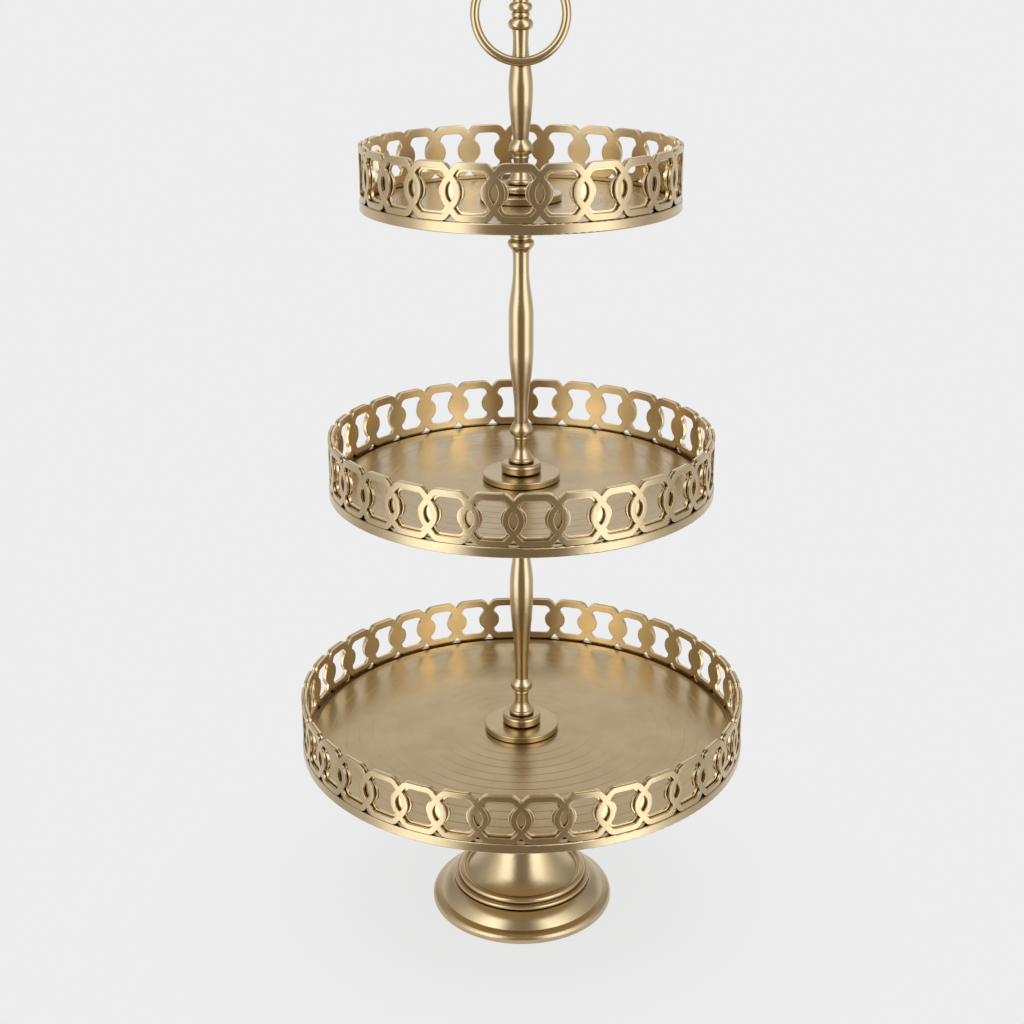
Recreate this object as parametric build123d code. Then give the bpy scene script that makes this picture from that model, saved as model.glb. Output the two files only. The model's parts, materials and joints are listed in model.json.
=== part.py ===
"""Three-tier cake stand in satin brass, with pierced link galleries and a drop ring handle.

Millimetres, +Z up. The origin is on the floor, at the centre of the foot. The front is -Y.
"""
import os
from math import acos, asin, atan2, cos, degrees, hypot, pi, radians, sin, sqrt, tan

from build123d import *
from build123d.topology import SkipClean

# Trays: outer radius of each rim, and where a link crossing lies, in degrees from the front
LOWER_TRAY_R = 153.6
MIDDLE_TRAY_R = 127.4
UPPER_TRAY_R = 100.7
LOWER_TRAY_TURN = -0.5
MIDDLE_TRAY_TURN = -2.5
UPPER_TRAY_TURN = 5.8

# Rim ring: an outer band with an inner ledge that carries the plate
BAND_W = 4.6
BAND_H = 6.6
BAND_EDGE_R = 0.8
LEDGE_T = 1.8
PLATE_SEAT_W = 4.0

# Plate: a turned disc with fine concentric grooves
# A drop is how far the plate's top lies below the top of the band
PLATE_T = 2.4
LOWER_PLATE_DROP = 0.0
MIDDLE_PLATE_DROP = 0.0
UPPER_PLATE_DROP = 2.2
PLATE_GAP = 2.6
PLATE_EDGE = 0.5
GROOVE_FIRST_R = 31.5
GROOVE_PITCH = 9.25
GROOVE_W = 0.5
GROOVE_D = 0.08
GROOVE_MARGIN = 6.0

# Gallery: an outer chain of overlapping links on an inner pierced liner
GALLERY_H = 33.3
GALLERY_INSET = 0.5
CHAIN_T = 1.8
LINER_T = 1.8
LAYER_GAP = 0.3
LINK_PITCH = 26.4
LINK_OVERLAP = 13.1
LINK_SIDE_R = 11.6
LINK_FLAT = 19.2
LINK_STRIP = 3.9
LINK_CORNER_R = 5.6
LINK_INNER_CORNER_R = 3.2
LINER_DISC_R = 8.1
LINER_POST_W = 8.2
LINER_RAIL_H = 5.2
LINER_CORNER_R = 4.2
LINER_STRIP_CELLS = 2

# Centre fastening: threaded studs in the column ends, and a nut inside the foot
STUD_R = 3.0
STUD_HOLE_CLEARANCE = 0.2
STUD_TAP_CLEARANCE = 0.05
STUD_ENGAGE = 12.0
STUD_TAIL = 3.0
STUD_CHAMFER = 0.5
TAP_SPARE = 2.0
NUT_SIDES = 6
NUT_FLATS = 10.0
NUT_H = 5.0
FOOT_WASHER_R = 9.0
FOOT_WASHER_T = 1.6
TRAY_WASHER_R = 20.0
TRAY_WASHER_T = 2.0

# Flange and collar that stand on each plate
FLANGE_R = 25.7
FLANGE_T = 4.6
COLLAR_R = 13.3
LOWER_COLLAR_H = 7.2
MIDDLE_COLLAR_H = 7.2
UPPER_COLLAR_H = 5.2
COLLAR_EDGE_R = 2.3
DISC_EDGE_R = 0.9

# Urn: the turned base of each column, with a bell, a neck, a bead and a bulb
# A lean is an outline's angle from upright, in degrees, outwards as it rises
URN_RIM_R = 8.6
URN_RIM_H = 3.4
URN_SHOULDER_R = 7.4
URN_NECK_R = 4.45
URN_NECK_Z = 11.4
URN_BEAD_FOOT_Z = 15.6
URN_BEAD_FOOT_R = 4.8
URN_BEAD_R = 5.3
URN_BEAD_H = 2.0
URN_BULB_R = 7.6
URN_BULB_Z = 21.2
URN_TOP_R = 4.9
URN_TOP_H = 0.5
URN_H = 27.6
URN_BELL_LEAN = -34.0
URN_BEAD_LEAN = 12.0
URN_BULB_LEAN = 52.0
URN_TOP_LEAN = -38.0

# Shaft: a slim foot that widens to a long swell, then a slim throat
LOWER_SHAFT_L = 114.2
MIDDLE_SHAFT_L = 112.0
LOWER_SWELL_Z = 66.0
MIDDLE_SWELL_Z = 50.0
SHAFT_FOOT_R = 4.5
SHAFT_FOOT_H = 6.0
SHAFT_SWELL_R = 8.1
SHAFT_SWELL_TOP_Z = 70.0
SHAFT_THROAT_R = 5.15
SHAFT_THROAT_Z = 101.0
SHAFT_THROAT_H = 6.0
SHAFT_LIP_R = 5.5
SHAFT_LIP_LEAN = 12.0

# Capital: the turned cap of each column, which spreads under the tray above
CAPITAL_H = 28.0
CAPITAL_BALL_R = 8.45
CAPITAL_BALL_Z = 5.7
CAPITAL_GROOVE_R = 6.3
CAPITAL_GROOVE_Z = 8.0
CAPITAL_RING_R = 6.9
CAPITAL_RING_H = 2.4
CAPITAL_NECK_R = 6.5
CAPITAL_NECK_H = 2.0
CAPITAL_SEAT_R = 13.0
CAPITAL_SEAT_H = 2.0
CAPITAL_FOOT_LEAN = 18.0
CAPITAL_GROOVE_LEAN = -63.0
CAPITAL_SEAT_LEAN = 55.0

# Foot: a hollow cast pedestal with a rounded plinth, a dome, two beads and a trumpet stem
FOOT_H = 133.5
FOOT_LIP_R = 64.9
FOOT_LIP_H = 1.2
FOOT_PLINTH_R = 59.2
FOOT_PLINTH_Z = 6.8
FOOT_DOME_TOP_R = 50.6
FOOT_DOME_TOP_Z = 16.0
FOOT_GROOVE_R = 48.2
FOOT_BEAD_R = 49.4
FOOT_BEAD_TOP_R = 46.6
FOOT_BEAD_H = 3.4
FOOT_RING_FOOT_R = 45.6
FOOT_RING_R = 46.0
FOOT_RING_TOP_R = 40.8
FOOT_RING_H = 2.8
FOOT_TRUMPET_R = 39.9
FOOT_WAIST_R = 25.5
FOOT_WAIST_Z = 41.7
FOOT_NECK_R = 15.0
FOOT_NECK_Z = 100.7
FOOT_SEAT_R = 24.0
FOOT_SEAT_H = 3.0
FOOT_PLINTH_LEAN = -70.0
FOOT_DOME_LEAN = -30.0
FOOT_DOME_TOP_LEAN = -58.0
FOOT_TRUMPET_LEAN = -52.0
FOOT_SEAT_LEAN = 51.0
FOOT_TOP_T = 4.0
FOOT_WALL = 2.5
FOOT_RIM_W = 10.9
FOOT_RIM_T = 4.0
PAD_IN_R = 56.0
PAD_W = 6.5
PAD_T = 2.0
PAD_PROUD = 0.5
PAD_CLEARANCE = 0.2

# Handle stem: a swell, a waist and three beads, the middle one small
STEM_FOOT_R = 4.8
STEM_SWELL_R = 7.55
STEM_SWELL_Z = 30.4
STEM_WAIST_R = 4.7
STEM_WAIST_Z = 57.0
STEM_BEAD_FOOT_R = 5.2
STEM_BEAD_FOOT_Z = 64.2
STEM_LOW_BEAD_R = 7.6
STEM_LOW_BEAD_H = 7.0
STEM_SMALL_BEAD_R = 5.6
STEM_SMALL_BEAD_H = 3.3
STEM_TOP_BEAD_R = 7.1
STEM_TOP_BEAD_H = 5.9
STEM_TOP_R = 4.8
STEM_FOOT_LEAN = 7.5
STEM_BEAD_LEAN = 11.0

# Finial: a collared ball, drilled crosswise for the ring
FINIAL_NECK_R = 4.5
FINIAL_NECK_H = 5.0
FINIAL_BEAD_R = 6.2
FINIAL_BEAD_H = 4.0
FINIAL_THROAT_R = 4.4
FINIAL_BALL_R = 8.6
FINIAL_BALL_Z = 20.4
FINIAL_SPIGOT_R = 2.5
FINIAL_SPIGOT_L = 7.0
FINIAL_SPIGOT_CLEARANCE = 0.1

# Drop ring: it hangs in the finial and leans on the front of the handle stem
RING_R = 27.55
RING_WIRE_R = 2.8
RING_HOLE_CLEARANCE = 0.3
RING_REST_GAP = 0.3

# Search for the angle at which the ring rests: arc of wire looked at, samples and halvings
REST_ARC = 90.0
WIRE_SAMPLES = 90
TAPER_SAMPLES = 80
REST_HALVINGS = 20

# Heights that follow from the stack of pieces
COLLAR_Z = PLATE_T + FLANGE_T
LOWER_PLATE_Z = PAD_PROUD + FOOT_H
LOWER_SHAFT_Z = LOWER_PLATE_Z + COLLAR_Z + LOWER_COLLAR_H + URN_H
LOWER_CAPITAL_Z = LOWER_SHAFT_Z + LOWER_SHAFT_L
MIDDLE_PLATE_Z = LOWER_CAPITAL_Z + CAPITAL_H + TRAY_WASHER_T
MIDDLE_SHAFT_Z = MIDDLE_PLATE_Z + COLLAR_Z + MIDDLE_COLLAR_H + URN_H
MIDDLE_CAPITAL_Z = MIDDLE_SHAFT_Z + MIDDLE_SHAFT_L
UPPER_PLATE_Z = MIDDLE_CAPITAL_Z + CAPITAL_H + TRAY_WASHER_T
STEM_Z = UPPER_PLATE_Z + COLLAR_Z + UPPER_COLLAR_H + URN_H
STEM_L = STEM_BEAD_FOOT_Z + STEM_LOW_BEAD_H + STEM_SMALL_BEAD_H + STEM_TOP_BEAD_H
FINIAL_Z = STEM_Z + STEM_L
RING_PIVOT_Z = FINIAL_Z + FINIAL_BALL_Z

STUD_HOLE_R = STUD_R + STUD_HOLE_CLEARANCE
TAP_R = STUD_R + STUD_TAP_CLEARANCE
TAP_DEPTH = STUD_ENGAGE + TAP_SPARE
UPRIGHT = 0.0
CUT_MARGIN = 2.0


def at(r, z):
    """Point of a turned outline, at radius r and height z."""
    return Vector(r, 0, z)


def turned(outline):
    """Solid of revolution about the Z axis from a closed outline."""
    return revolve(make_face(outline.edges()), Axis.Z)


def leaning(lean):
    """Direction of a turned outline that leans outwards from upright as it rises."""
    return at(sin(radians(lean)), cos(radians(lean)))


def sweep_to(low, high, low_lean, high_lean):
    """Smooth stretch of a turned outline from one point up to another, with its lean at both ends."""
    return Spline(low, high, tangents=(leaning(low_lean), leaning(high_lean)))


def rounded_side(radius, low_z, high_z, edge_r):
    """Upright side of a disc or band with both its edges rounded, from its lower face to its upper one."""
    inset = edge_r * (1 - sqrt(0.5))
    low_edge = ThreePointArc(
        at(radius - edge_r, low_z), at(radius - inset, low_z + inset), at(radius, low_z + edge_r)
    )
    side = Line(at(radius, low_z + edge_r), at(radius, high_z - edge_r))
    high_edge = ThreePointArc(
        at(radius, high_z - edge_r), at(radius - inset, high_z - inset), at(radius - edge_r, high_z)
    )
    return low_edge + side + high_edge


def bead(low_r, low_z, wide_r, high_r, high_z):
    """Rounded swelling of a turned outline, widest halfway up."""
    return ThreePointArc(at(low_r, low_z), at(wide_r, (low_z + high_z) / 2), at(high_r, high_z))


def disc(outer_r, hole_r, height, edge_r):
    """Flat turned disc with a centre hole and rounded outer edges."""
    inner_line = Polyline(
        at(outer_r - edge_r, height), at(hole_r, height), at(hole_r, 0), at(outer_r - edge_r, 0)
    )
    return turned(rounded_side(outer_r, 0, height, edge_r) + inner_line)


def bored(solid, length, radius):
    """Turned solid with a hole of the given radius right through it along Z."""
    hole = Pos(0, 0, length / 2) * Cylinder(radius, length + 2 * CUT_MARGIN)
    return solid - hole


def drilled_below(solid, depth, radius):
    """Turned solid with a blind hole drilled up from its lower end."""
    hole = Pos(0, 0, (depth - CUT_MARGIN) / 2) * Cylinder(radius, depth + CUT_MARGIN)
    return solid - hole


def drilled_above(solid, length, depth, radius):
    """Turned solid with a blind hole drilled down from its upper end."""
    hole = Pos(0, 0, length - (depth - CUT_MARGIN) / 2) * Cylinder(radius, depth + CUT_MARGIN)
    return solid - hole


# Foot


def foot_pad():
    """Rubber ring let into the underside of the foot."""
    return disc(PAD_IN_R + PAD_W, PAD_IN_R, PAD_T, PAD_CLEARANCE)


def foot():
    """Hollow pedestal, with its lower lip at height zero."""
    bead_z = FOOT_DOME_TOP_Z
    ring_z = bead_z + FOOT_BEAD_H
    trumpet_z = ring_z + FOOT_RING_H
    seat_z = FOOT_H - FOOT_SEAT_H
    roof_z = FOOT_H - FOOT_TOP_T
    rim_r = FOOT_LIP_R - FOOT_RIM_W
    recess = PAD_T - PAD_PROUD
    recess_in = PAD_IN_R - PAD_CLEARANCE
    recess_out = PAD_IN_R + PAD_W + PAD_CLEARANCE
    bore_r = FOOT_NECK_R - FOOT_WALL

    def trumpet(wall):
        return Spline(
            at(FOOT_TRUMPET_R - wall, trumpet_z),
            at(FOOT_WAIST_R - wall, FOOT_WAIST_Z),
            at(FOOT_NECK_R - wall, FOOT_NECK_Z),
            tangents=(leaning(FOOT_TRUMPET_LEAN), leaning(UPRIGHT)),
        )

    lip_top = at(FOOT_LIP_R, FOOT_LIP_H)
    plinth_top = at(FOOT_PLINTH_R, FOOT_PLINTH_Z)
    dome_top = at(FOOT_DOME_TOP_R, bead_z)
    lip = Line(at(FOOT_LIP_R, 0), lip_top)
    plinth = sweep_to(lip_top, plinth_top, UPRIGHT, FOOT_PLINTH_LEAN)
    dome = sweep_to(plinth_top, dome_top, FOOT_DOME_LEAN, FOOT_DOME_TOP_LEAN)
    groove = Line(dome_top, at(FOOT_GROOVE_R, bead_z))
    big_bead = bead(FOOT_GROOVE_R, bead_z, FOOT_BEAD_R, FOOT_BEAD_TOP_R, ring_z)
    notch = Line(at(FOOT_BEAD_TOP_R, ring_z), at(FOOT_RING_FOOT_R, ring_z))
    small_bead = bead(FOOT_RING_FOOT_R, ring_z, FOOT_RING_R, FOOT_RING_TOP_R, trumpet_z)
    ledge = Line(at(FOOT_RING_TOP_R, trumpet_z), at(FOOT_TRUMPET_R, trumpet_z))
    flare = sweep_to(at(FOOT_NECK_R, FOOT_NECK_Z), at(FOOT_SEAT_R, seat_z), UPRIGHT, FOOT_SEAT_LEAN)
    top = Polyline(
        at(FOOT_SEAT_R, seat_z),
        at(FOOT_SEAT_R, FOOT_H),
        at(STUD_HOLE_R, FOOT_H),
        at(STUD_HOLE_R, roof_z),
        at(bore_r, roof_z),
        at(bore_r, FOOT_NECK_Z),
    )
    underside = Polyline(
        at(FOOT_TRUMPET_R - FOOT_WALL, trumpet_z),
        at(rim_r, FOOT_RIM_T),
        at(rim_r, 0),
        at(recess_in, 0),
        at(recess_in, recess),
        at(recess_out, recess),
        at(recess_out, 0),
        at(FOOT_LIP_R, 0),
    )
    base = lip + plinth + dome + groove + big_bead + notch + small_bead + ledge
    return turned(base + trumpet(0) + flare + top + trumpet(FOOT_WALL) + underside)


def foot_nut():
    """Hexagon nut on the lowest stud, inside the foot."""
    hexagon = RegularPolygon(NUT_FLATS / 2, NUT_SIDES, major_radius=False) - Circle(TAP_R)
    return extrude(hexagon, NUT_H)


# Trays


def plate_radius(tray_r):
    return tray_r - BAND_W - PLATE_GAP


def plate(tray_r):
    """Turned disc with concentric grooves in its upper face, from its underside up."""
    outer_r = plate_radius(tray_r)
    points = [at(STUD_HOLE_R, 0), at(outer_r, 0), at(outer_r, PLATE_T - PLATE_EDGE)]
    points.append(at(outer_r - PLATE_EDGE, PLATE_T))
    groove_count = int((outer_r - GROOVE_MARGIN - GROOVE_FIRST_R) / GROOVE_PITCH) + 1
    for index in reversed(range(groove_count)):
        groove_r = GROOVE_FIRST_R + index * GROOVE_PITCH
        points.append(at(groove_r + GROOVE_W / 2, PLATE_T))
        points.append(at(groove_r, PLATE_T - GROOVE_D))
        points.append(at(groove_r - GROOVE_W / 2, PLATE_T))
    points.append(at(STUD_HOLE_R, PLATE_T))
    return turned(Polyline(*points, close=True))


def rim(tray_r, band_top):
    """Ring with a rounded band outside and a ledge inside, its ledge top at height zero."""
    band_in = tray_r - BAND_W
    ledge_in = band_in - PLATE_GAP - PLATE_SEAT_W
    low = band_top - BAND_H
    edge_in = tray_r - BAND_EDGE_R
    inside = Polyline(
        at(edge_in, band_top),
        at(band_in, band_top),
        at(band_in, 0),
        at(ledge_in, 0),
        at(ledge_in, -LEDGE_T),
        at(band_in, -LEDGE_T),
        at(band_in, low),
        at(edge_in, low),
    )
    return turned(rounded_side(tray_r, low, band_top, BAND_EDGE_R) + inside)


# Galleries


def shoulder_turn(side_x, side_r, flat, height):
    """Angle on a link's round side, up from its widest point, where the straight shoulder meets it."""
    run = flat / 2 - side_x
    rise = height / 2
    return atan2(rise, run) - acos(side_r / hypot(run, rise))


def link_face(side_x, side_r, flat, height, corner_r):
    """Outline of a link: flat above and below, straight shoulders, round sides and rounded corners."""
    corner_x = flat / 2
    corner_y = height / 2
    turn = shoulder_turn(side_x, side_r, flat, height)
    touch_x = side_x + side_r * cos(turn)
    touch_y = side_r * sin(turn)
    wide_x = side_x + side_r
    outline = Curve()
    for side in (1, -1):
        outline += Line((side * corner_x, corner_y), (side * touch_x, touch_y))
        outline += ThreePointArc((side * touch_x, touch_y), (side * wide_x, 0), (side * touch_x, -touch_y))
        outline += Line((side * touch_x, -touch_y), (side * corner_x, -corner_y))
        outline += Line((-corner_x, side * corner_y), (corner_x, side * corner_y))
    rows = make_face(outline.edges()).vertices().group_by(Axis.Y)
    return fillet(rows[0] + rows[-1], corner_r)


def link_outer(pitch):
    """Outer outline of a link, which reaches past its pitch by half the overlap at each side."""
    side_x = (pitch + LINK_OVERLAP) / 2 - LINK_SIDE_R
    return link_face(side_x, LINK_SIDE_R, LINK_FLAT, GALLERY_H, LINK_CORNER_R)


def link_inner(pitch):
    """Inner outline of a link, one strip width inside the outer one."""
    side_x = (pitch + LINK_OVERLAP) / 2 - LINK_SIDE_R
    bend = pi / 2 - shoulder_turn(side_x, LINK_SIDE_R, LINK_FLAT, GALLERY_H)
    flat = LINK_FLAT - 2 * LINK_STRIP * tan(bend / 2)
    height = GALLERY_H - 2 * LINK_STRIP
    return link_face(side_x, LINK_SIDE_R - LINK_STRIP, flat, height, LINK_INNER_CORNER_R)


def chain_cell(pitch, left, right):
    """Flat pattern of the chain around one crossing: two overlapping open links."""
    outer = link_outer(pitch)
    inner = link_inner(pitch)
    solid = left * outer + right * outer
    solid -= left * inner - right * outer
    solid -= right * inner - left * outer
    return solid - ((left * inner) & (right * inner))


def liner_cell(pitch, left, right):
    """Flat pattern of the liner around one crossing: a solid disc between two waisted windows."""
    outer = link_outer(pitch)
    window = RectangleRounded(pitch - LINER_POST_W, GALLERY_H - 2 * LINER_RAIL_H, LINER_CORNER_R)
    window -= [Pos(x, 0) * Circle(LINER_DISC_R) for x in (-pitch / 2, pitch / 2)]
    return (left * outer + right * outer) - left * window - right * window


def gallery_layer(cell_pattern, count, outer_r, thickness, turn, strip_cells):
    """Pierced ring of equal cells, one for each crossing, from height zero up, in strips end to end."""
    step = 360 / count
    pitch = 2 * pi * outer_r / count
    pattern = cell_pattern(pitch, Pos(-pitch / 2, 0), Pos(pitch / 2, 0))
    inner_r = outer_r - thickness
    middle_z = GALLERY_H / 2
    near_y = inner_r * cos(radians(step)) - CUT_MARGIN
    front = Plane(origin=(0, -near_y, middle_z), x_dir=(1, 0, 0), z_dir=(0, -1, 0))
    prism = extrude(front * pattern, outer_r)
    wall = Rectangle(thickness, GALLERY_H + CUT_MARGIN)
    section = Pos(inner_r + thickness / 2, 0, middle_z) * Rot(90, 0, 0) * wall
    sector = Rot(0, 0, -90 - step / 2) * revolve(section, Axis.Z, step)
    cell = sector & prism
    cells = [Rot(0, 0, turn + index * step) * cell for index in range(count)]
    runs = [cells[start:start + strip_cells] for start in range(0, count, strip_cells)]
    with SkipClean():
        strips = [run[0].fuse(*run[1:]) if len(run) > 1 else run[0] for run in runs]
    return strips[0] if len(strips) == 1 else Compound(strips)


def link_count(tray_r):
    """Number of links round a tray, the same for its chain and its liner."""
    return round(2 * pi * (tray_r - GALLERY_INSET) / LINK_PITCH)


def chain(tray_r, turn):
    count = link_count(tray_r)
    return gallery_layer(chain_cell, count, tray_r - GALLERY_INSET, CHAIN_T, turn, count)


def liner(tray_r, turn):
    outer_r = tray_r - GALLERY_INSET - CHAIN_T - LAYER_GAP
    return gallery_layer(liner_cell, link_count(tray_r), outer_r, LINER_T, turn, LINER_STRIP_CELLS)


# Columns


def flange():
    return disc(FLANGE_R, STUD_HOLE_R, FLANGE_T, DISC_EDGE_R)


def collar(height):
    return disc(COLLAR_R, STUD_HOLE_R, height, COLLAR_EDGE_R)


def urn():
    """Turned column base: bell, neck, bead and bulb."""
    bead_top_z = URN_BEAD_FOOT_Z + URN_BEAD_H
    cap_z = URN_H - URN_TOP_H
    neck_at = at(URN_NECK_R, URN_NECK_Z)
    bulb_at = at(URN_BULB_R, URN_BULB_Z)
    foot_line = Line(at(0, 0), at(URN_SHOULDER_R, 0))
    rim_bead = bead(URN_SHOULDER_R, 0, URN_RIM_R, URN_SHOULDER_R, URN_RIM_H)
    bell = sweep_to(at(URN_SHOULDER_R, URN_RIM_H), neck_at, URN_BELL_LEAN, UPRIGHT)
    neck = sweep_to(neck_at, at(URN_BEAD_FOOT_R, URN_BEAD_FOOT_Z), UPRIGHT, URN_BEAD_LEAN)
    small_bead = bead(URN_BEAD_FOOT_R, URN_BEAD_FOOT_Z, URN_BEAD_R, URN_BEAD_FOOT_R, bead_top_z)
    bulb_low = sweep_to(at(URN_BEAD_FOOT_R, bead_top_z), bulb_at, URN_BULB_LEAN, UPRIGHT)
    bulb_high = sweep_to(bulb_at, at(URN_TOP_R, cap_z), UPRIGHT, URN_TOP_LEAN)
    top = Polyline(at(URN_TOP_R, cap_z), at(URN_TOP_R, URN_H), at(0, URN_H), at(0, 0))
    solid = turned(foot_line + rim_bead + bell + neck + small_bead + bulb_low + bulb_high + top)
    return bored(solid, URN_H, STUD_HOLE_R)


def shaft(length, swell_z):
    """Turned column shaft with a tapped hole in each end, at its widest from a given height."""
    foot_top = at(SHAFT_FOOT_R, SHAFT_FOOT_H)
    swell_low = at(SHAFT_SWELL_R, swell_z)
    swell_high = at(SHAFT_SWELL_R, SHAFT_SWELL_TOP_Z)
    throat_low = at(SHAFT_THROAT_R, SHAFT_THROAT_Z)
    throat_high = at(SHAFT_THROAT_R, SHAFT_THROAT_Z + SHAFT_THROAT_H)
    lip_at = at(SHAFT_LIP_R, length)
    lower = Polyline(at(0, 0), at(SHAFT_FOOT_R, 0), foot_top)
    taper = sweep_to(foot_top, swell_low, UPRIGHT, UPRIGHT)
    swell = Line(swell_low, swell_high)
    shoulder = sweep_to(swell_high, throat_low, UPRIGHT, UPRIGHT)
    throat = Line(throat_low, throat_high)
    lip = sweep_to(throat_high, lip_at, UPRIGHT, SHAFT_LIP_LEAN)
    top = Polyline(lip_at, at(0, length), at(0, 0))
    solid = turned(lower + taper + swell + shoulder + throat + lip + top)
    return drilled_above(drilled_below(solid, TAP_DEPTH, TAP_R), length, TAP_DEPTH, TAP_R)


def capital():
    """Turned column cap: ball, ring, neck and a spreading seat under the tray."""
    neck_z = CAPITAL_GROOVE_Z + CAPITAL_RING_H
    neck_low = at(CAPITAL_NECK_R, neck_z)
    neck_top = at(CAPITAL_NECK_R, neck_z + CAPITAL_NECK_H)
    seat_low = at(CAPITAL_SEAT_R, CAPITAL_H - CAPITAL_SEAT_H)
    ball_at = at(CAPITAL_BALL_R, CAPITAL_BALL_Z)
    groove_at = at(CAPITAL_GROOVE_R, CAPITAL_GROOVE_Z)
    foot_line = Line(at(0, 0), at(SHAFT_LIP_R, 0))
    ball_low = sweep_to(at(SHAFT_LIP_R, 0), ball_at, CAPITAL_FOOT_LEAN, UPRIGHT)
    ball_high = sweep_to(ball_at, groove_at, UPRIGHT, CAPITAL_GROOVE_LEAN)
    ring = bead(CAPITAL_GROOVE_R, CAPITAL_GROOVE_Z, CAPITAL_RING_R, CAPITAL_NECK_R, neck_z)
    neck = Line(neck_low, neck_top)
    bell = sweep_to(neck_top, seat_low, UPRIGHT, CAPITAL_SEAT_LEAN)
    seat = Polyline(seat_low, at(CAPITAL_SEAT_R, CAPITAL_H), at(0, CAPITAL_H), at(0, 0))
    return bored(turned(foot_line + ball_low + ball_high + ring + neck + bell + seat), CAPITAL_H, STUD_HOLE_R)


def tray_washer():
    """Plain washer between a capital and the plate above it."""
    return disc(TRAY_WASHER_R, STUD_HOLE_R, TRAY_WASHER_T, DISC_EDGE_R)


def stud(low_z, high_z):
    """Threaded stud, drawn at its outer diameter, with chamfered ends."""
    tip_r = STUD_R - STUD_CHAMFER
    outline = Polyline(
        at(0, low_z),
        at(tip_r, low_z),
        at(STUD_R, low_z + STUD_CHAMFER),
        at(STUD_R, high_z - STUD_CHAMFER),
        at(tip_r, high_z),
        at(0, high_z),
        close=True,
    )
    return turned(outline)


# Handle


def stem_taper():
    """Outline of the handle stem from its swell to its waist, where the ring rests."""
    return sweep_to(at(STEM_SWELL_R, STEM_SWELL_Z), at(STEM_WAIST_R, STEM_WAIST_Z), UPRIGHT, UPRIGHT)


def handle_stem():
    """Turned handle stem: swell, waist and three beads, tapped below and socketed above."""
    small_z = STEM_BEAD_FOOT_Z + STEM_LOW_BEAD_H
    high_z = small_z + STEM_SMALL_BEAD_H
    foot_line = Line(at(0, 0), at(STEM_FOOT_R, 0))
    swell = sweep_to(at(STEM_FOOT_R, 0), at(STEM_SWELL_R, STEM_SWELL_Z), STEM_FOOT_LEAN, UPRIGHT)
    waist_at = at(STEM_WAIST_R, STEM_WAIST_Z)
    waist = sweep_to(waist_at, at(STEM_BEAD_FOOT_R, STEM_BEAD_FOOT_Z), UPRIGHT, STEM_BEAD_LEAN)
    low_bead = bead(STEM_BEAD_FOOT_R, STEM_BEAD_FOOT_Z, STEM_LOW_BEAD_R, STEM_TOP_R, small_z)
    small_bead = bead(STEM_TOP_R, small_z, STEM_SMALL_BEAD_R, STEM_TOP_R, high_z)
    top_bead = bead(STEM_TOP_R, high_z, STEM_TOP_BEAD_R, STEM_TOP_R, STEM_L)
    top = Polyline(at(STEM_TOP_R, STEM_L), at(0, STEM_L), at(0, 0))
    beads = low_bead + small_bead + top_bead
    solid = turned(foot_line + swell + stem_taper() + waist + beads + top)
    socket_r = FINIAL_SPIGOT_R + FINIAL_SPIGOT_CLEARANCE
    solid = drilled_above(solid, STEM_L, FINIAL_SPIGOT_L + TAP_SPARE, socket_r)
    return drilled_below(solid, TAP_DEPTH, TAP_R)


def ring_hole_radius():
    """Cross hole that clears the curved wire at the mouth of the hole, however the ring hangs."""
    sag = RING_R - sqrt(RING_R**2 - FINIAL_BALL_R**2)
    return RING_WIRE_R + sag + RING_HOLE_CLEARANCE


def finial():
    """Turned finial: neck, bead and ball, with a cross hole and a spigot for the stem."""
    bead_top = FINIAL_NECK_H + FINIAL_BEAD_H
    ball_low = FINIAL_BALL_Z - sqrt(FINIAL_BALL_R**2 - FINIAL_THROAT_R**2)
    ball_top = at(0, FINIAL_BALL_Z + FINIAL_BALL_R)
    lower = Polyline(
        ball_top,
        at(0, -FINIAL_SPIGOT_L),
        at(FINIAL_SPIGOT_R, -FINIAL_SPIGOT_L),
        at(FINIAL_SPIGOT_R, 0),
        at(STEM_TOP_R, 0),
        at(FINIAL_NECK_R, FINIAL_NECK_H),
    )
    collar_bead = bead(FINIAL_NECK_R, FINIAL_NECK_H, FINIAL_BEAD_R, FINIAL_THROAT_R, bead_top)
    throat = Line(at(FINIAL_THROAT_R, bead_top), at(FINIAL_THROAT_R, ball_low))
    ball = ThreePointArc(at(FINIAL_THROAT_R, ball_low), at(FINIAL_BALL_R, FINIAL_BALL_Z), ball_top)
    drill = Cylinder(ring_hole_radius(), 2 * (FINIAL_BALL_R + CUT_MARGIN))
    return turned(lower + collar_bead + throat + ball) - Pos(0, 0, FINIAL_BALL_Z) * Rot(0, 90, 0) * drill


def ring_gap(lean, taper_points):
    """Least gap between the wire, leaning forward by an angle, and the handle stem below the finial."""
    pivot_z = STEM_L + FINIAL_BALL_Z
    least = RING_R
    for index in range(WIRE_SAMPLES + 1):
        turn = radians(REST_ARC * (index / WIRE_SAMPLES - 1 / 2))
        drop = RING_R * (1 + cos(turn))
        wire_r = hypot(RING_R * sin(turn), drop * sin(lean))
        wire_z = pivot_z - drop * cos(lean)
        for point in taper_points:
            least = min(least, hypot(wire_r - point.X, wire_z - point.Z) - RING_WIRE_R)
    return least


def ring_lean():
    """Angle in degrees at which the hanging ring rests on the front of the stem."""
    curve = stem_taper()
    taper_points = [curve @ (index / TAPER_SAMPLES) for index in range(TAPER_SAMPLES + 1)]
    low = 0.0
    high = asin((STEM_SWELL_R + RING_WIRE_R + RING_REST_GAP) / RING_R)
    for _ in range(REST_HALVINGS):
        middle = (low + high) / 2
        if ring_gap(middle, taper_points) < RING_REST_GAP:
            low = middle
        else:
            high = middle
    return degrees(high)


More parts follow.
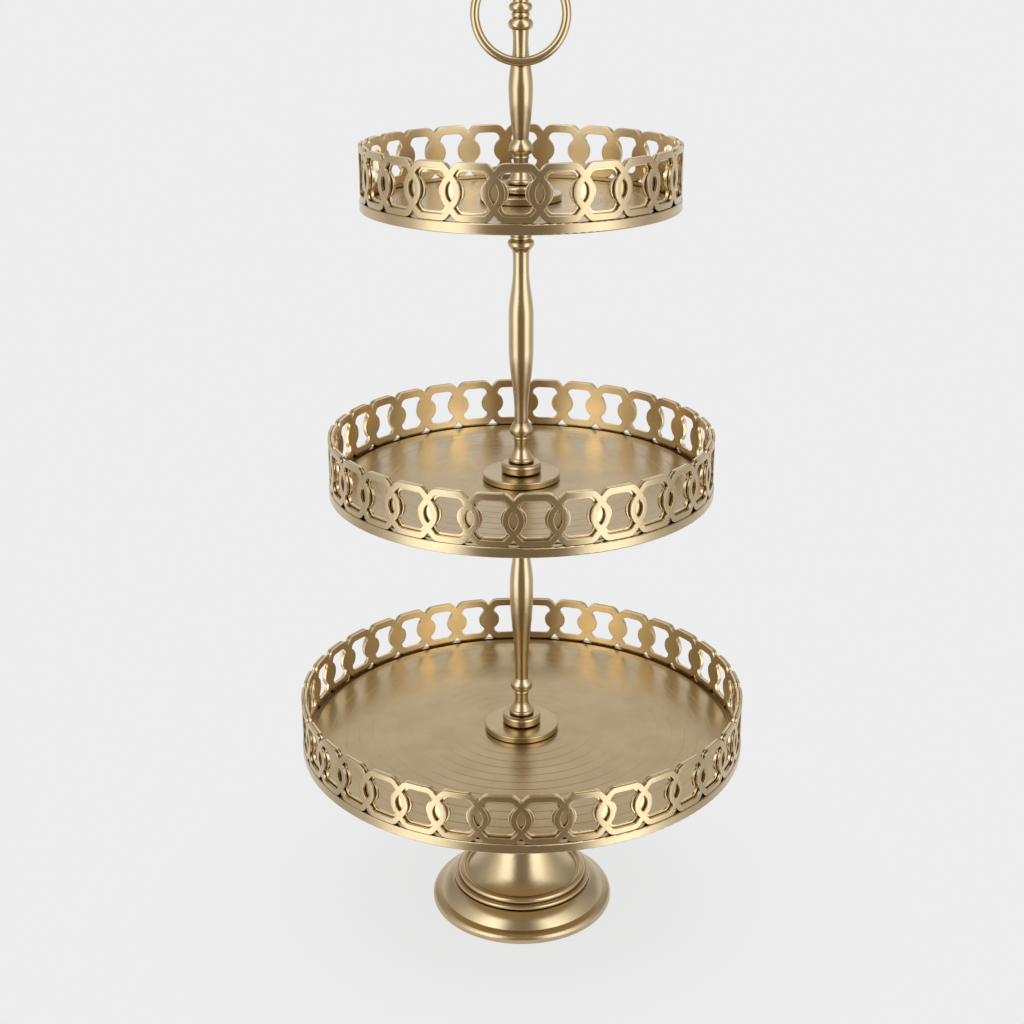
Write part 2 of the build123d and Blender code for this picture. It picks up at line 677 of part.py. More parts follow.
def drop_ring():
    """Round wire ring, hung from height zero and leaning forward."""
    upright = Pos(0, 0, -RING_R) * Rot(90, 0, 0) * Torus(RING_R, RING_WIRE_R)
    return Rot(-ring_lean(), 0, 0) * upright


# Assembly


def tray_nodes(name, tray_r, turn, plate_z, plate_drop):
    """Pieces of one tray and the flange that stands on it, by node name."""
    band_top = PLATE_T + plate_drop
    gallery = Pos(0, 0, plate_z + band_top)
    return {
        f"{name}_plate": Pos(0, 0, plate_z) * plate(tray_r),
        f"{name}_rim": Pos(0, 0, plate_z) * rim(tray_r, band_top),
        f"{name}_gallery_chain": gallery * chain(tray_r, turn),
        f"{name}_gallery_liner": gallery * liner(tray_r, turn),
        f"{name}_flange": Pos(0, 0, plate_z + PLATE_T) * flange(),
    }


def urn_nodes(name, collar_z, collar_h):
    """Collar on a flange and the urn on it, by node name."""
    return {
        f"{name}_collar": Pos(0, 0, collar_z) * collar(collar_h),
        f"{name}_urn": Pos(0, 0, collar_z + collar_h) * urn(),
    }


def column_nodes(name, shaft_z, shaft_l, swell_z):
    """Pieces of one column above its urn, by node name."""
    capital_z = shaft_z + shaft_l
    return {
        f"{name}_shaft": Pos(0, 0, shaft_z) * shaft(shaft_l, swell_z),
        f"{name}_capital": Pos(0, 0, capital_z) * capital(),
        f"{name}_tray_washer": Pos(0, 0, capital_z + CAPITAL_H) * tray_washer(),
    }


def foot_nodes():
    """Pieces of the foot and its fastening, by node name."""
    washer_z = LOWER_PLATE_Z - FOOT_TOP_T - FOOT_WASHER_T
    washer = disc(FOOT_WASHER_R, STUD_HOLE_R, FOOT_WASHER_T, STUD_HOLE_CLEARANCE)
    return {
        "foot_pad": foot_pad(),
        "foot": Pos(0, 0, PAD_PROUD) * foot(),
        "foot_washer": Pos(0, 0, washer_z) * washer,
        "foot_nut": Pos(0, 0, washer_z - NUT_H) * foot_nut(),
    }


def stud_nodes():
    """Three studs, each from the piece below a tray to the piece above it, by node name."""
    low_end = LOWER_PLATE_Z - FOOT_TOP_T - FOOT_WASHER_T - NUT_H - STUD_TAIL
    return {
        "lower_stud": stud(low_end, LOWER_SHAFT_Z + STUD_ENGAGE),
        "middle_stud": stud(LOWER_CAPITAL_Z - STUD_ENGAGE, MIDDLE_SHAFT_Z + STUD_ENGAGE),
        "upper_stud": stud(MIDDLE_CAPITAL_Z - STUD_ENGAGE, STEM_Z + STUD_ENGAGE),
    }


def handle_nodes():
    """Pieces of the handle above the upper urn, by node name."""
    return {
        "handle_stem": Pos(0, 0, STEM_Z) * handle_stem(),
        "finial": Pos(0, 0, FINIAL_Z) * finial(),
        "ring_handle": Pos(0, 0, RING_PIVOT_Z) * drop_ring(),
    }


def main():
    nodes = foot_nodes()
    nodes |= tray_nodes("lower", LOWER_TRAY_R, LOWER_TRAY_TURN, LOWER_PLATE_Z, LOWER_PLATE_DROP)
    nodes |= urn_nodes("lower", LOWER_PLATE_Z + COLLAR_Z, LOWER_COLLAR_H)
    nodes |= column_nodes("lower", LOWER_SHAFT_Z, LOWER_SHAFT_L, LOWER_SWELL_Z)
    nodes |= tray_nodes("middle", MIDDLE_TRAY_R, MIDDLE_TRAY_TURN, MIDDLE_PLATE_Z, MIDDLE_PLATE_DROP)
    nodes |= urn_nodes("middle", MIDDLE_PLATE_Z + COLLAR_Z, MIDDLE_COLLAR_H)
    nodes |= column_nodes("middle", MIDDLE_SHAFT_Z, MIDDLE_SHAFT_L, MIDDLE_SWELL_Z)
    nodes |= tray_nodes("upper", UPPER_TRAY_R, UPPER_TRAY_TURN, UPPER_PLATE_Z, UPPER_PLATE_DROP)
    nodes |= urn_nodes("upper", UPPER_PLATE_Z + COLLAR_Z, UPPER_COLLAR_H)
    nodes |= stud_nodes()
    nodes |= handle_nodes()
    os.makedirs("parts", exist_ok=True)
    for name, shape in nodes.items():
        export_step(shape, f"parts/{name}.step")
    print(f"pieces {len(nodes)}, plates at {LOWER_PLATE_Z:.2f}, {MIDDLE_PLATE_Z:.2f}, {UPPER_PLATE_Z:.2f}")
    print(f"ring pivot height {RING_PIVOT_Z:.3f}, lean at rest {ring_lean():.3f} degrees")


main()
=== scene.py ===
"""Looks of the three-tier cake stand: galleries, brass finishes, studio light and camera.

Metres, +Z up. The origin is on the floor, at the centre of the foot. The front is -Y.
"""
import json
import math

import bmesh
import bpy
from mathutils import Matrix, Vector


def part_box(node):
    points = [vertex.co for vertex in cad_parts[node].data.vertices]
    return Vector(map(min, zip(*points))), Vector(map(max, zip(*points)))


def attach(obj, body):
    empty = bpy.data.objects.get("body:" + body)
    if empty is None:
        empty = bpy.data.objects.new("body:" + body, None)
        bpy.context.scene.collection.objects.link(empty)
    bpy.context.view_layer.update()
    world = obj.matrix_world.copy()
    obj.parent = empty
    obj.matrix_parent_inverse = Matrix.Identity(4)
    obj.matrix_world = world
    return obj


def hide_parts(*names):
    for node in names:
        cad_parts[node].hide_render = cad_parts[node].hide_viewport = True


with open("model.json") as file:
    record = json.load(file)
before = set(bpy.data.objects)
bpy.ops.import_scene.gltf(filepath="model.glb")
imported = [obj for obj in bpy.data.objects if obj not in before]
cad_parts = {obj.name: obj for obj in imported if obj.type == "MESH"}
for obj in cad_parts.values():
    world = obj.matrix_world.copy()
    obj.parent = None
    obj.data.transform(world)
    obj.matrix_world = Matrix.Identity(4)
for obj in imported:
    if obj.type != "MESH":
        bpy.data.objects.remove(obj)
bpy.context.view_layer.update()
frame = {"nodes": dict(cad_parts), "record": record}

MM = 0.001

# Trays: outer radius in millimetres, and turn of a link crossing from the front in degrees
TRAYS = {
    "lower": (153.6, -0.5),
    "middle": (127.4, -2.5),
    "upper": (100.7, 5.8),
}

# Gallery layers, in millimetres
GALLERY_H = 33.3
GALLERY_INSET = 0.5
CHAIN_T = 1.8
LINER_T = 1.8
LAYER_GAP = 0.3
LINK_PITCH = 26.4
LINK_OVERLAP = 13.1
LINK_SIDE_R = 11.6
LINK_FLAT = 19.2
LINK_STRIP = 3.9
LINK_CORNER_R = 5.6
LINK_INNER_CORNER_R = 3.2
LINER_DISC_R = 8.1
LINER_POST_W = 8.2
LINER_RAIL_H = 5.2
LINER_CORNER_R = 4.2
EDGE_ROUND = 0.28

# Fineness of the gallery meshes: steps in an arc, a corner and a cell, and distances that are welded
ARC_STEPS = 9
CORNER_STEPS = 4
BEND_STEPS = 12
HALVINGS = 40
TINY = 1e-9
FLAT_WELD = 1e-4
CUT_WELD = 1e-5
RING_WELD = 2e-6
HEIGHT_DIGITS = 6
NORMAL_WEIGHT = 100


# Flat patterns of the galleries


def link_side(side_x, side_r, flat, height, corner_r):
    """Right-hand outline of a link from its widest point up to its flat top, as (x, y) points."""
    run = flat / 2 - side_x
    rise = height / 2
    turn = math.atan2(rise, run) - math.acos(side_r / math.hypot(run, rise))
    points = []
    for index in range(ARC_STEPS + 1):
        angle = turn * index / ARC_STEPS
        points.append((side_x + side_r * math.cos(angle), side_r * math.sin(angle)))
    bend = math.pi / 2 - turn
    tangent = corner_r * math.tan(bend / 2)
    centre = (flat / 2 - tangent, height / 2 - corner_r)
    for index in range(CORNER_STEPS + 1):
        angle = turn + bend * index / CORNER_STEPS
        x = centre[0] + corner_r * math.cos(angle)
        y = centre[1] + corner_r * math.sin(angle)
        points.append((x, y))
    return points


def reach(side, y):
    """Half width of a link at a height, from its right-hand outline."""
    y = abs(y)
    for (x0, y0), (x1, y1) in zip(side, side[1:]):
        if y0 <= y <= y1:
            return x0 + (x1 - x0) * (y - y0) / max(y1 - y0, TINY)
    return side[-1][0] if y > side[-1][1] else side[0][0]


def height_at(side, x):
    """Height at which the right-hand outline of a link has the given half width."""
    for (x0, y0), (x1, y1) in zip(side, side[1:]):
        if x1 <= x <= x0:
            return y0 + (y1 - y0) * (x0 - x) / max(x0 - x1, TINY)
    return 0.0


def link_sides(pitch):
    """Outer and inner right-hand outlines of a link."""
    side_x = (pitch + LINK_OVERLAP) / 2 - LINK_SIDE_R
    run = LINK_FLAT / 2 - side_x
    rise = GALLERY_H / 2
    turn = math.atan2(rise, run) - math.acos(LINK_SIDE_R / math.hypot(run, rise))
    inner_flat = LINK_FLAT - 2 * LINK_STRIP * math.tan((math.pi / 2 - turn) / 2)
    outer = link_side(side_x, LINK_SIDE_R, LINK_FLAT, GALLERY_H, LINK_CORNER_R)
    inner_r = LINK_SIDE_R - LINK_STRIP
    inner_h = GALLERY_H - 2 * LINK_STRIP
    inner = link_side(side_x, inner_r, inner_flat, inner_h, LINK_INNER_CORNER_R)
    return outer, inner


def mirrored(heights):
    """Heights and their negatives, from the lowest up, each once."""
    return sorted({round(sign * y, HEIGHT_DIGITS) for y in heights for sign in (1, -1)})


def closed_loop(centre_x, widths):
    """Closed outline from half widths by height, about a centre line."""
    right = [(centre_x + w, y) for y, w in widths]
    left = [(centre_x - w, y) for y, w in reversed(widths)]
    return right + left


def scallops(pitch, outer, cells):
    """Closed outline round a run of overlapping links."""
    notch_y = height_at(outer, pitch / 2)
    crest = [(x, y) for x, y in outer if y > notch_y and x < pitch / 2]
    arch = [(-x, y) for x, y in reversed(crest)] + crest
    top = []
    for cell in range(-cells, cells + 1):
        arch_here = [(cell * pitch - pitch / 2, notch_y)]
        arch_here += sorted((cell * pitch + x, y) for x, y in arch)
        top += arch_here
    top.append(((cells + 0.5) * pitch, notch_y))
    return top + [(x, -y) for x, y in reversed(top)]


def chain_loops(pitch, cells):
    """Outlines of the chain: its scalloped edge, the windows and the pockets where links cross."""
    outer, inner = link_sides(pitch)
    loops = [scallops(pitch, outer, cells)]
    low, high = 0.0, inner[-1][1]
    for _ in range(HALVINGS):
        middle = (low + high) / 2
        if pitch - reach(outer, middle) < reach(inner, middle):
            low = middle
        else:
            high = middle
    meet = low
    heights = [y for _, y in outer if y < meet] + [meet] + [y for _, y in inner if y > meet]
    window = [(y, min(reach(inner, y), pitch - reach(outer, y))) for y in mirrored(heights)]
    tip = height_at(inner, pitch / 2)
    pocket_heights = mirrored([y for _, y in inner if y < tip])
    pocket = [(y, reach(inner, y) - pitch / 2) for y in pocket_heights]
    for cell in range(-cells, cells + 1):
        loops.append(closed_loop(cell * pitch, window))
        if cell < cells:
            ends = closed_loop((cell + 0.5) * pitch, pocket)
            split = len(pocket)
            ends.insert(split, ((cell + 0.5) * pitch, tip))
            ends.append(((cell + 0.5) * pitch, -tip))
            loops.append(ends)
    return loops


def liner_loops(pitch, cells):
    """Outlines of the liner: the same scalloped edge, and windows waisted by solid discs."""
    outer, _ = link_sides(pitch)
    loops = [scallops(pitch, outer, cells)]
    half_w = (pitch - LINER_POST_W) / 2
    half_h = GALLERY_H / 2 - LINER_RAIL_H
    corner = LINER_CORNER_R
    meet = math.sqrt(LINER_DISC_R**2 - (pitch / 2 - half_w) ** 2)
    heights = [meet * index / ARC_STEPS for index in range(ARC_STEPS + 1)]
    turns = [math.pi / 2 * index / CORNER_STEPS for index in range(CORNER_STEPS + 1)]
    heights += [half_h - corner + corner * math.sin(turn) for turn in turns]

    def width(y):
        y = abs(y)
        if y <= meet:
            return min(half_w, pitch / 2 - math.sqrt(LINER_DISC_R**2 - y * y))
        if y <= half_h - corner:
            return half_w
        return half_w - corner + math.sqrt(max(corner**2 - (y - half_h + corner) ** 2, 0.0))

    window = [(y, width(y)) for y in mirrored(heights)]
    for cell in range(-cells, cells + 1):
        loops.append(closed_loop(cell * pitch, window))
    return loops


def pattern_mesh(loops, thickness):
    """Flat plate of the given outlines, with its edges rounded over."""
    curve = bpy.data.curves.new("pattern", "CURVE")
    curve.dimensions = "2D"
    curve.fill_mode = "BOTH"
    curve.extrude = thickness / 2 - EDGE_ROUND
    curve.bevel_depth = EDGE_ROUND
    curve.bevel_resolution = 1
    curve.offset = -EDGE_ROUND
    for loop in loops:
        spline = curve.splines.new("POLY")
        spline.points.add(len(loop) - 1)
        for point, (x, y) in zip(spline.points, loop):
            point.co = (x, y, 0, 1)
        spline.use_cyclic_u = True
    holder = bpy.data.objects.new("pattern", curve)
    bpy.context.scene.collection.objects.link(holder)
    graph = bpy.context.evaluated_depsgraph_get()
    mesh = bpy.data.meshes.new_from_object(holder.evaluated_get(graph))
    bpy.data.objects.remove(holder)
    bpy.data.curves.remove(curve)
    return mesh


def cell_mesh(loops, thickness, pitch):
    """One pitch of the plate, cut across at even steps so that it can be bent."""
    mesh = pattern_mesh(loops, thickness)
    cell = bmesh.new()
    cell.from_mesh(mesh)
    bpy.data.meshes.remove(mesh)
    bmesh.ops.remove_doubles(cell, verts=cell.verts, dist=FLAT_WELD)
    for index in range(BEND_STEPS + 1):
        x = pitch * (index / BEND_STEPS - 0.5)
        everything = cell.verts[:] + cell.edges[:] + cell.faces[:]
        bmesh.ops.bisect_plane(
            cell, geom=everything, dist=CUT_WELD, plane_co=(x, 0, 0), plane_no=(1, 0, 0),
            clear_inner=index == 0, clear_outer=index == BEND_STEPS,
        )
    return cell


def gallery_layer(name, loops_of, count, outer_r, thickness, turn, base_z):
    """Pierced ring in place of a CAD gallery layer: its cells bent round the axis and joined."""
    pitch = 2 * math.pi * outer_r / count
    cell = cell_mesh(loops_of(pitch, 1), thickness, pitch)
    flat = [vert.co.copy() for vert in cell.verts]
    cell.verts.index_update()
    polygons = [[vert.index for vert in face.verts] for face in cell.faces]
    cell.free()
    verts = []
    faces = []
    for index in range(count):
        start = len(verts)
        centre = math.radians(turn) + 2 * math.pi * (index + 0.5) / count
        for co in flat:
            angle = centre + co.x / outer_r
            radius = outer_r - thickness / 2 + co.z
            z = base_z + GALLERY_H / 2 + co.y
            verts.append((radius * math.sin(angle) * MM, -radius * math.cos(angle) * MM, z * MM))
        faces += [[start + corner for corner in polygon] for polygon in polygons]
    mesh = bpy.data.meshes.new(name)
    mesh.from_pydata(verts, [], faces)
    ring = bmesh.new()
    ring.from_mesh(mesh)
    bmesh.ops.remove_doubles(ring, verts=ring.verts, dist=RING_WELD)
    bmesh.ops.recalc_face_normals(ring, faces=ring.faces)
    for face in ring.faces:
        face.smooth = True
    ring.to_mesh(mesh)
    ring.free()
    piece = bpy.data.objects.new(name, mesh)
    bpy.context.scene.collection.objects.link(piece)
    weights = piece.modifiers.new("even_normals", "WEIGHTED_NORMAL")
    weights.keep_sharp = False
    weights.weight = NORMAL_WEIGHT
    return piece


# Materials: colours, and the scale and strength of each detail of the finish

BRASS = (0.58, 0.45, 0.265)
# Lighter copy of the brass for the liners: painted light
PAINTED_LIGHT_BRASS = (0.78, 0.61, 0.365)
PLATE_BRASS = (0.53, 0.41, 0.238)
# Tarnish colour, which is also the colour of the painted shade in hollows
TARNISH_AND_SHADE = (0.14, 0.09, 0.038)
ZINC = (0.42, 0.41, 0.39)
ZINC_DARK = (0.25, 0.24, 0.22)
RUBBER = (0.035, 0.034, 0.033)
RUBBER_DARK = (0.015, 0.015, 0.014)
LINES_ROUND = 0.004
LINES_UPRIGHT = 0.12
CLOUD_SCALE = 38.0
CLOUD_DETAIL = 6.0
CLOUD_ROUGHNESS = 0.6
CLOUD_TARNISH = 0.18
CLOUD_STOPS = [(0.35, 0.0), (0.75, 1.0)]
LINE_SCALE = 2600.0
LINE_DETAIL = 3.0
LINE_ROUGHNESS = 0.55
LINE_SHARE = 0.5
LINE_HEIGHT = 0.0002
# Hollows: reach, samples, share and ramp of the occlusion that darkens the colour, partly as patina
# and partly as painted shade
HOLLOW_REACH = 0.003
HOLLOW_SAMPLES = 8
HOLLOW_PATINA_AND_SHADE = 0.85
HOLLOW_STOPS = [(0.15, 1.0), (0.64, 0.0)]
SHEEN_RANGE = (0.4, 1.1)
SMOOTHER = 0.04
ROUGHER = 0.05
MOTTLE_DETAIL = 5.0
MOTTLE_STOPS = (0.3, 0.7)
MOTTLE_SHEEN = 0.08
MOTTLE_BUMP = 0.15
MOTTLE_HEIGHT = 0.0003

# Colour sockets of a mix node
MIX_A = 6
MIX_B = 7
MIX_RESULT = 2


class Nodes:
    """Short way to add and join shader nodes in one tree."""

    def __init__(self, tree):
        self.tree = tree

    def add(self, kind, inputs=None, **settings):
        node = self.tree.nodes.new(kind)
        for key, value in settings.items():
            setattr(node, key, value)
        for key, value in (inputs or {}).items():
            if isinstance(value, bpy.types.NodeSocket):
                self.tree.links.new(value, node.inputs[key])
            else:
                node.inputs[key].default_value = value
        return node

    def math(self, operation, *values):
        node = self.add("ShaderNodeMath", dict(enumerate(values)), operation=operation)
        return node.outputs[0]

    def ramp(self, value, stops):
        node = self.add("ShaderNodeValToRGB", {"Fac": value})
        while len(node.color_ramp.elements) < len(stops):
            node.color_ramp.elements.new(1.0)
        for element, (place, colour) in zip(node.color_ramp.elements, stops):
            element.position = place
            element.color = colour if isinstance(colour, tuple) else (colour, colour, colour, 1)
        return node.outputs["Color"]


def new_material(name):
    material = bpy.data.materials.new(name)
    material.use_nodes = True
    material.node_tree.nodes.clear()
    return material, Nodes(material.node_tree)


def grain_vector(nodes, lay):
    """Coordinates in which the finish's fine lines run: round the axis, or upright round a wall."""
    place = nodes.add("ShaderNodeTexCoord").outputs["Object"]
    split = nodes.add("ShaderNodeSeparateXYZ", {0: place})
    x, y, z = split.outputs
    square = nodes.math("ADD", nodes.math("MULTIPLY", x, x), nodes.math("MULTIPLY", y, y))
    radius = nodes.math("SQRT", square)
    angle = nodes.math("ARCTAN2", y, x)
    if lay == "turned":
        parts = (radius, nodes.math("MULTIPLY", angle, LINES_ROUND), z)
    else:
        across = nodes.math("MULTIPLY", angle, LINES_UPRIGHT)
        parts = (across, radius, nodes.math("MULTIPLY", z, LINES_UPRIGHT))
    return place, nodes.add("ShaderNodeCombineXYZ", dict(enumerate(parts))).outputs[0]


def brass(name, colour, tarnish_and_shade, roughness, lay, line_depth, stretch=0.0):
    """Satin brass with cloudy tarnish, fine finishing lines, and hollows darkened towards the
    tarnish colour: partly patina, partly painted shade.
    """
    material, nodes = new_material(name)
    place, along = grain_vector(nodes, lay)
    cloud = nodes.add(
        "ShaderNodeTexNoise",
        {"Vector": place, "Scale": CLOUD_SCALE, "Detail": CLOUD_DETAIL,
         "Roughness": CLOUD_ROUGHNESS},
    )
    lines = nodes.add(
        "ShaderNodeTexNoise",
        {"Vector": along, "Scale": LINE_SCALE, "Detail": LINE_DETAIL,
         "Roughness": LINE_ROUGHNESS},
    )
    # Painted shade: occlusion from nearby parts darkens the colour in pockets, in gaps and under
    # edges, on top of the patina there
    hollow = nodes.add(
        "ShaderNodeAmbientOcclusion", {"Distance": HOLLOW_REACH}, samples=HOLLOW_SAMPLES
    )
    age = nodes.math("MULTIPLY", nodes.ramp(cloud.outputs["Fac"], CLOUD_STOPS), CLOUD_TARNISH)
    hollow_patina_and_shade = nodes.ramp(hollow.outputs["AO"], HOLLOW_STOPS)
    tone = nodes.math("MAXIMUM", age, nodes.math("MULTIPLY", hollow_patina_and_shade, HOLLOW_PATINA_AND_SHADE))
    tint = nodes.add("ShaderNodeMix", data_type="RGBA")
    nodes.tree.links.new(tone, tint.inputs[0])
    tint.inputs[MIX_A].default_value = (*colour, 1)
    tint.inputs[MIX_B].default_value = (*tarnish_and_shade, 1)
    streaks = nodes.math("MULTIPLY", lines.outputs["Fac"], LINE_SHARE)
    wear = nodes.math("ADD", cloud.outputs["Fac"], streaks)
    rough = nodes.add(
        "ShaderNodeMapRange",
        {"Value": wear, "From Min": SHEEN_RANGE[0], "From Max": SHEEN_RANGE[1],
         "To Min": roughness - SMOOTHER, "To Max": roughness + ROUGHER},
    )
    bump = nodes.add(
        "ShaderNodeBump",
        {"Height": lines.outputs["Fac"], "Strength": line_depth, "Distance": LINE_HEIGHT},
    )
    shader = nodes.add(
        "ShaderNodeBsdfPrincipled",
        {"Base Color": tint.outputs[MIX_RESULT], "Metallic": 1.0, "Roughness": rough.outputs[0],
         "Normal": bump.outputs[0], "Anisotropic": stretch},
    )
    if stretch:
        lay_tangent = nodes.add("ShaderNodeTangent", direction_type="RADIAL", axis="Z")
        nodes.tree.links.new(lay_tangent.outputs[0], shader.inputs["Tangent"])
    nodes.add("ShaderNodeOutputMaterial", {"Surface": shader.outputs[0]})
    return material


def dull(name, colour, dark, roughness, metallic, scale):
    """Plain hidden surface, such as zinc or rubber, with fine mottling."""
    material, nodes = new_material(name)
    place = nodes.add("ShaderNodeTexCoord").outputs["Object"]
    noise = nodes.add(
        "ShaderNodeTexNoise", {"Vector": place, "Scale": scale, "Detail": MOTTLE_DETAIL}
    )
    low, high = MOTTLE_STOPS
    tint = nodes.ramp(noise.outputs["Fac"], [(low, (*dark, 1)), (high, (*colour, 1))])
    rough = nodes.add(
        "ShaderNodeMapRange",
        {"Value": noise.outputs["Fac"],
         "To Min": roughness - MOTTLE_SHEEN, "To Max": roughness + MOTTLE_SHEEN},
    )
    bump = nodes.add(
        "ShaderNodeBump",
        {"Height": noise.outputs["Fac"], "Strength": MOTTLE_BUMP, "Distance": MOTTLE_HEIGHT},
    )
    shader = nodes.add(
        "ShaderNodeBsdfPrincipled",
        {"Base Color": tint, "Metallic": metallic, "Roughness": rough.outputs[0],
         "Normal": bump.outputs[0]},
    )
    nodes.add("ShaderNodeOutputMaterial", {"Surface": shader.outputs[0]})
    return material


# Brass: colour, tarnish and painted shade colour, roughness, lay of its lines, their depth and the
# stretch of highlights.
# Dull: colour, dark, roughness, metallic and scale. Liners take a lighter copy of the same brass in
# the same slot: painted light.
materials = {
    "plate_brass": brass("plate_brass", PLATE_BRASS, TARNISH_AND_SHADE, 0.24, "turned", 0.04, 0.4),
    "rim_brass": brass("rim_brass", BRASS, TARNISH_AND_SHADE, 0.22, "turned", 0.03),
    "gallery_brass": brass("gallery_brass", BRASS, TARNISH_AND_SHADE, 0.23, "wall", 0.03),
    "turned_brass": brass("turned_brass", BRASS, TARNISH_AND_SHADE, 0.22, "turned", 0.02),
    "foot_brass": brass("foot_brass", BRASS, TARNISH_AND_SHADE, 0.24, "turned", 0.02),
    "fastener_steel": dull("fastener_steel", ZINC, ZINC_DARK, 0.38, 1.0, 600.0),
    "pad_rubber": dull("pad_rubber", RUBBER, RUBBER_DARK, 0.75, 0.0, 400.0),
}
# Painted light: the liners take a lighter copy of the gallery brass
painted_light_backing_brass = brass("painted_light_backing_brass", PAINTED_LIGHT_BRASS, TARNISH_AND_SHADE, 0.22, "wall", 0.03)


# Pieces: every CAD node takes its slot's material, and the galleries get finer meshes

node_slot = {part["node"]: part["material_slot"] for part in frame["record"]["subparts"]}

for node, piece in frame["nodes"].items():
    piece.data.materials.clear()
    piece.data.materials.append(materials[node_slot[node]])

for tray, (tray_r, turn) in TRAYS.items():
    chain_node = f"{tray}_gallery_chain"
    liner_node = f"{tray}_gallery_liner"
    base_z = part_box(chain_node)[0].z / MM
    chain_r = tray_r - GALLERY_INSET
    liner_r = chain_r - CHAIN_T - LAYER_GAP
    count = round(2 * math.pi * chain_r / LINK_PITCH)
    links = gallery_layer(f"{tray}_links", chain_loops, count, chain_r, CHAIN_T, turn, base_z)
    backing = gallery_layer(f"{tray}_backing", liner_loops, count, liner_r, LINER_T, turn, base_z)
    links.data.materials.append(materials["gallery_brass"])
    backing.data.materials.append(painted_light_backing_brass)
    for node, piece in ((chain_node, links), (liner_node, backing)):
        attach(piece, "stand")
        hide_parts(node)


# Studio: white surround at the back and sides, and a dim front with a tall soft light on either side

WHITE = 0.85
SOFT = (2.1, 2.2, 2.35, 1)
DIM_HIGH = (0.30, 0.265, 0.23, 1)
DIM_LOW = (0.27, 0.222, 0.17, 1)

# Light by bearing, as a share of the half turn from front to back: above and below eye level
HIGH_STOPS = [
    (0.0, DIM_HIGH), (0.10, DIM_HIGH), (0.185, SOFT), (0.29, SOFT), (0.40, 1.1), (0.52, 0.65),
    (0.66, 0.45), (0.80, 0.45), (0.90, WHITE),
]
LOW_STOPS = [
    (0.0, DIM_LOW), (0.15, DIM_LOW), (0.235, SOFT), (0.35, SOFT), (0.45, 0.9), (0.56, 0.6),
    (0.72, WHITE),
]
BEHIND_STOPS = [(0.80, 0.0), (0.90, 1.0)]
RISE_STOPS = [(0.45, 0.0), (0.60, 1.0)]

# Floor: a pale disc that shows the stand's soft shadow near its middle
FLOOR_R = 0.30
FLOOR_SIDES = 96
FLOOR_GREY = 0.8
SHADOW_FROM = 0.05
SHADOW_TO = 0.285
SHADOW_SHARE = 0.14

# Camera: place in metres, angles in degrees, lens and sensor in millimetres
CAMERA_AT = (-0.0063, -0.9811, 0.66013)
CAMERA_TILT = 69.75
CAMERA_ROLL = -0.21
LENS = 54.76
SENSOR = 36.0
CLIP = (0.05, 20.0)


def studio_world():
    world = bpy.data.worlds.new("studio")
    world.use_nodes = True
    world.node_tree.nodes.clear()
    nodes = Nodes(world.node_tree)
    direction = nodes.add("ShaderNodeTexCoord").outputs["Generated"]
    split = nodes.add("ShaderNodeSeparateXYZ", {0: direction})
    x, y, z = split.outputs
    bearing = nodes.math("ABSOLUTE", nodes.math("ARCTAN2", x, nodes.math("MULTIPLY", y, -1.0)))
    share = nodes.math("DIVIDE", bearing, math.pi)
    high = nodes.ramp(share, HIGH_STOPS)
    low = nodes.ramp(share, LOW_STOPS)
    rise = nodes.ramp(nodes.math("MULTIPLY_ADD", z, 0.5, 0.5), RISE_STOPS)
    around = nodes.add("ShaderNodeMix", data_type="RGBA")
    nodes.tree.links.new(rise, around.inputs[0])
    nodes.tree.links.new(low, around.inputs[MIX_A])
    nodes.tree.links.new(high, around.inputs[MIX_B])
    white = (WHITE, WHITE, WHITE, 1)
    backdrop = nodes.add("ShaderNodeBackground", {"Color": white, "Strength": 1.0})
    room = nodes.add("ShaderNodeBackground", {"Color": around.outputs[MIX_RESULT], "Strength": 1.0})
    path = nodes.add("ShaderNodeLightPath")
    glossy = path.outputs["Is Glossy Ray"]
    mirrored_ray = nodes.math("MAXIMUM", glossy, path.outputs["Is Transmission Ray"])
    behind = nodes.math("MULTIPLY", mirrored_ray, nodes.ramp(share, BEHIND_STOPS))
    seen = nodes.math("MAXIMUM", path.outputs["Is Camera Ray"], behind)
    mix = nodes.add("ShaderNodeMixShader", {0: seen, 1: room.outputs[0], 2: backdrop.outputs[0]})
    nodes.add("ShaderNodeOutputWorld", {"Surface": mix.outputs[0]})
    bpy.context.scene.world = world


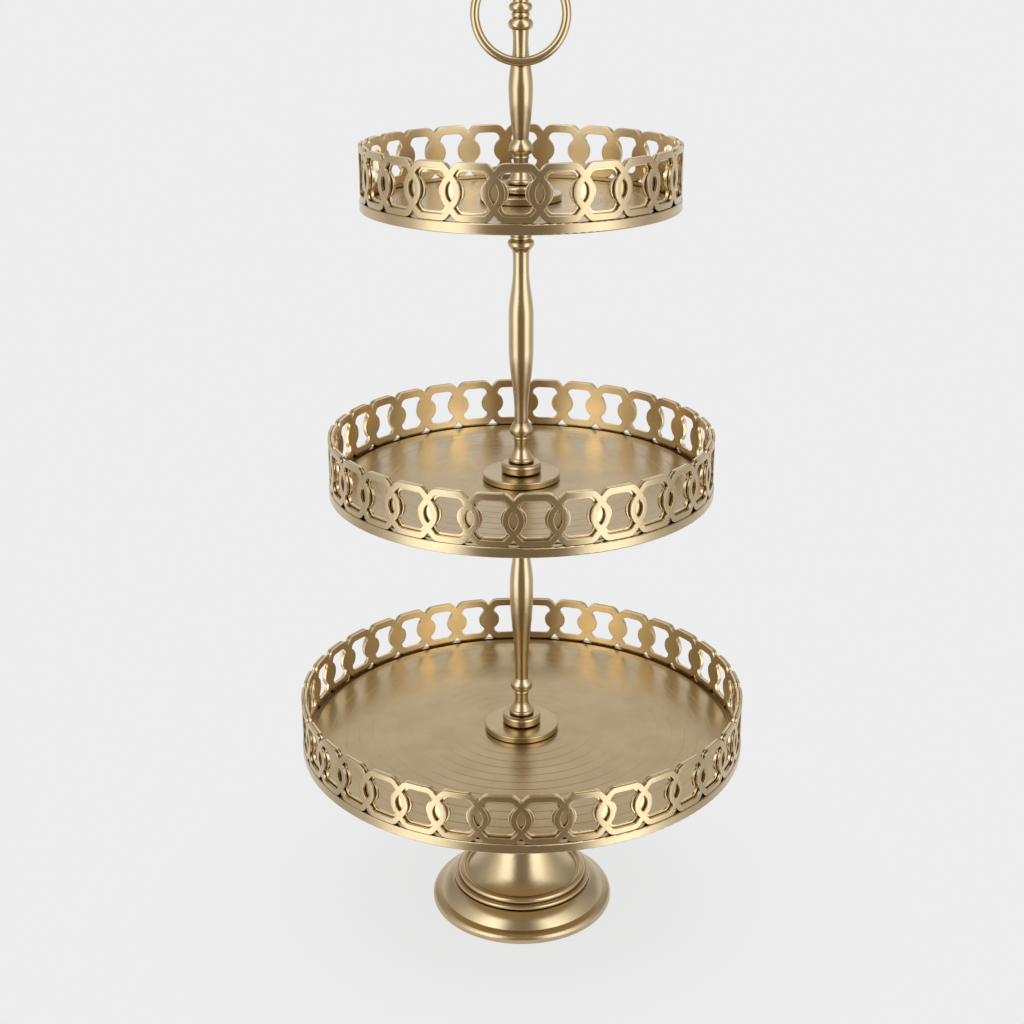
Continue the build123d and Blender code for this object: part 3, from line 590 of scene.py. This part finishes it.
def studio_floor():
    mesh = bpy.data.meshes.new("floor")
    disc = bmesh.new()
    bmesh.ops.create_circle(disc, cap_ends=True, segments=FLOOR_SIDES, radius=FLOOR_R)
    disc.to_mesh(mesh)
    disc.free()
    floor = bpy.data.objects.new("floor", mesh)
    bpy.context.scene.collection.objects.link(floor)
    material, nodes = new_material("pale_floor")
    place = nodes.add("ShaderNodeTexCoord").outputs["Object"]
    out = nodes.add("ShaderNodeVectorMath", {0: place}, operation="LENGTH").outputs["Value"]
    near = nodes.add(
        "ShaderNodeMapRange",
        {"Value": out, "From Min": SHADOW_FROM, "From Max": SHADOW_TO,
         "To Min": SHADOW_SHARE, "To Max": 0.0},
        interpolation_type="SMOOTHSTEP",
    )
    path = nodes.add("ShaderNodeLightPath")
    seen = nodes.math("MAXIMUM", path.outputs["Is Camera Ray"], path.outputs["Is Glossy Ray"])
    seen = nodes.math("MAXIMUM", seen, path.outputs["Is Transmission Ray"])
    matt = nodes.add("ShaderNodeBsdfDiffuse", {"Color": (FLOOR_GREY, FLOOR_GREY, FLOOR_GREY, 1)})
    glow = nodes.add("ShaderNodeEmission", {"Color": (WHITE, WHITE, WHITE, 1), "Strength": 1.0})
    shown = nodes.add(
        "ShaderNodeMixShader", {0: near.outputs[0], 1: glow.outputs[0], 2: matt.outputs[0]}
    )
    mix = nodes.add("ShaderNodeMixShader", {0: seen, 1: matt.outputs[0], 2: shown.outputs[0]})
    nodes.add("ShaderNodeOutputMaterial", {"Surface": mix.outputs[0]})
    mesh.materials.append(material)


def studio_camera():
    lens = bpy.data.cameras.new("camera")
    lens.sensor_width = SENSOR
    lens.lens = LENS
    lens.clip_start, lens.clip_end = CLIP
    camera = bpy.data.objects.new("camera", lens)
    bpy.context.scene.collection.objects.link(camera)
    camera.location = CAMERA_AT
    tilt = Matrix.Rotation(math.radians(CAMERA_TILT), 3, "X")
    roll = Matrix.Rotation(math.radians(CAMERA_ROLL), 3, "Z")
    camera.rotation_euler = (tilt @ roll).to_euler()
    bpy.context.scene.camera = camera


studio_world()
studio_floor()
studio_camera()
bpy.context.scene.view_settings.view_transform = "Standard"
